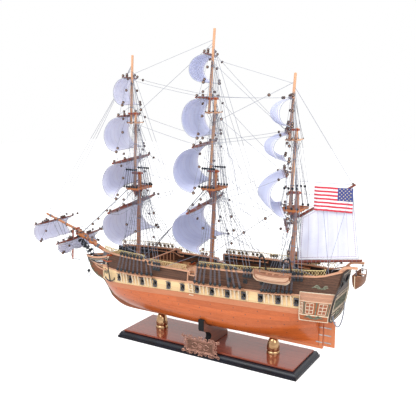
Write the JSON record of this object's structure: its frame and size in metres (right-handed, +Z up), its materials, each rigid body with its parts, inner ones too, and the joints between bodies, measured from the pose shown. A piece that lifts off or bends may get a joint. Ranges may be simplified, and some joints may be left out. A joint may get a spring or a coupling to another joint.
{
  "type": "model sailing ship",
  "caption": "Three-masted model frigate with bellied square sails, a spanker, boats on davits and a hinged rudder, standing on a moulded display base with brass pedestals and a cradle.",
  "frame": {"origin": "centre of the display base's underside", "axes": "+X along the ship from bow to stern, +Z up, so the port side is -Y"},
  "size_m": [0.9534, 0.2958, 0.7902],
  "materials": {
    "black_lacquer": "glossy black lacquer",
    "polished_mahogany": "high-gloss varnish",
    "dark_mahogany": "satin varnish",
    "turned_brass": "polished",
    "cast_copper": "cast relief, antiqued",
    "keel_mahogany": "satin varnish",
    "hull_mahogany": "varnished planks with treenails",
    "cream_paint": "satin",
    "walnut": "satin varnish",
    "beech_rail": "satin varnish",
    "deck_planking": "oiled planks",
    "gallery_mahogany": "satin varnish",
    "boat_cream": "satin",
    "boat_mahogany": "satin varnish",
    "mast_beech": "satin varnish",
    "yard_rosewood": "satin varnish",
    "sail_cotton": "stitched cotton",
    "flag_cotton": "printed cotton",
    "gray_rope": "twisted cord"
  },
  "bodies": {
    "ship": {"base_panel": "polished_mahogany", "base_plinth": "black_lacquer", "bowsprit": "mast_beech", "bulwark": "walnut", "cap_rail": "beech_rail", "ensign": "flag_cotton", "fore_course_sail": "sail_cotton", "fore_course_yard": "yard_rosewood", "fore_lower_mast": "mast_beech", "fore_royal_sail": "sail_cotton", "fore_royal_yard": "yard_rosewood", "fore_shrouds": "gray_rope", "fore_topgallant_sail": "sail_cotton", "fore_topgallant_yard": "yard_rosewood", "fore_topsail_sail": "sail_cotton", "fore_topsail_yard": "yard_rosewood", "fore_upper_mast": "mast_beech", "gun_strake": "cream_paint", "hull_bottom": "hull_mahogany", "hull_cradle": "dark_mahogany", "keel_and_stem": "keel_mahogany", "main_course_sail": "sail_cotton", "main_course_yard": "yard_rosewood", "main_lower_mast": "mast_beech", "main_royal_sail": "sail_cotton", "main_royal_yard": "yard_rosewood", "main_shrouds": "gray_rope", "main_topgallant_sail": "sail_cotton", "main_topgallant_yard": "yard_rosewood", "main_topsail_sail": "sail_cotton", "main_topsail_yard": "yard_rosewood", "main_upper_mast": "mast_beech", "mizzen_crossjack_yard": "yard_rosewood", "mizzen_lower_mast": "mast_beech", "mizzen_royal_sail": "sail_cotton", "mizzen_royal_yard": "yard_rosewood", "mizzen_shrouds": "gray_rope", "mizzen_topgallant_sail": "sail_cotton", "mizzen_topgallant_yard": "yard_rosewood", "mizzen_topsail_sail": "sail_cotton", "mizzen_topsail_yard": "yard_rosewood", "mizzen_upper_mast": "mast_beech", "nameplate": "cast_copper", "pedestal_aft": "turned_brass", "pedestal_fore": "turned_brass", "quarter_gallery_port": "gallery_mahogany", "quarter_gallery_stbd": "gallery_mahogany", "rudder_rope": "gray_rope", "spanker_boom": "yard_rosewood", "spanker_gaff": "yard_rosewood", "spanker_sail": "sail_cotton", "spar_deck": "deck_planking", "sprit_topsail_sail": "sail_cotton", "sprit_topsail_yard": "yard_rosewood", "spritsail_sail": "sail_cotton", "spritsail_yard": "yard_rosewood", "transom": "walnut"},
    "rudder": {"rudder": "keel_mahogany"},
    "quarter_boat": {"quarter_boat": "boat_cream"},
    "stern_boat": {"stern_boat": "boat_mahogany"}
  },
  "joints": [
    {"name": "rudder_turn", "type": "hinge", "parent": "ship", "child": "rudder", "pos_m": [0.2908, 0, 0.065], "axis": [0, 0, 1], "range_deg": [-35, 35]},
    {"name": "quarter_boat_swing", "type": "hinge", "parent": "ship", "child": "quarter_boat", "pos_m": [0.1975, -0.09527, 0.2798], "axis": [1, 0, 0], "range_deg": [-12, 8]},
    {"name": "stern_boat_swing", "type": "hinge", "parent": "ship", "child": "stern_boat", "pos_m": [0.365, 0, 0.2641], "axis": [0, 1, 0], "range_deg": [-10, 8]}
  ]
}
